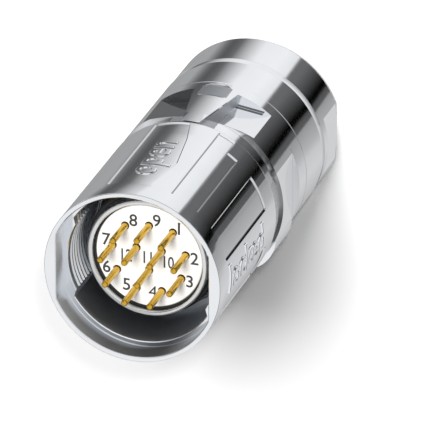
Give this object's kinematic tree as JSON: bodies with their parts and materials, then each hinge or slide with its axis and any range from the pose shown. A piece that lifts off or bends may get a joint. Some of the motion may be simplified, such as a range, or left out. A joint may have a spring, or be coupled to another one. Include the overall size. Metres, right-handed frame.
{
  "type": "circular signal connector",
  "caption": "Straight cable-mount circular connector with gold contact pins in a white insert, a quarter-turn locking sleeve, wrench flats and a clamping cable nut.",
  "frame": {"origin": "centre of the cable nut's rear face, which it stands on", "axes": "+Z along the connector's axis from the cable end to the mating face, -Y towards the index wedge"},
  "size_m": [0.027, 0.027, 0.058],
  "materials": {
    "sleeve_nickel": "bright nickel plating, polished",
    "housing_nickel": "bright nickel plating, polished",
    "nut_nickel": "bright nickel plating, polished",
    "shroud_nickel": "nickel plating, satin",
    "insert_plastic": "white moulded plastic",
    "contact_gold": "gold plating",
    "seal_rubber": "black seal rubber",
    "spring_steel": "plain spring steel",
    "cage_plastic": "black moulded plastic"
  },
  "bodies": {
    "body": {"housing": "housing_nickel", "rear_nut": "nut_nickel", "insert_shroud": "shroud_nickel", "carrier_front": "insert_plastic", "carrier_rear": "insert_plastic", "shroud_oring": "seal_rubber", "insert_gasket": "seal_rubber", "face_seal": "seal_rubber", "cable_seal": "seal_rubber", "nut_oring": "seal_rubber", "sleeve_retaining_ring": "spring_steel", "detent_ball": "spring_steel", "detent_spring": "spring_steel", "insert_retaining_ring": "cage_plastic", "shield_ring": "shroud_nickel", "pressure_washer": "spring_steel", "clamp_cage": "cage_plastic", "contact_pin_01": "contact_gold", "contact_pin_02": "contact_gold", "contact_pin_03": "contact_gold", "contact_pin_04": "contact_gold", "contact_pin_05": "contact_gold", "contact_pin_06": "contact_gold", "contact_pin_07": "contact_gold", "contact_pin_08": "contact_gold", "contact_pin_09": "contact_gold", "contact_pin_10": "contact_gold", "contact_pin_11": "contact_gold", "contact_pin_12": "contact_gold"},
    "sleeve": {"locking_sleeve": "sleeve_nickel"}
  },
  "joints": [
    {"name": "sleeve_lock", "type": "hinge", "parent": "body", "child": "sleeve", "pos_m": [0, 0, 0.045], "axis": [0, 0, 1], "range_deg": [0, 90]}
  ]
}
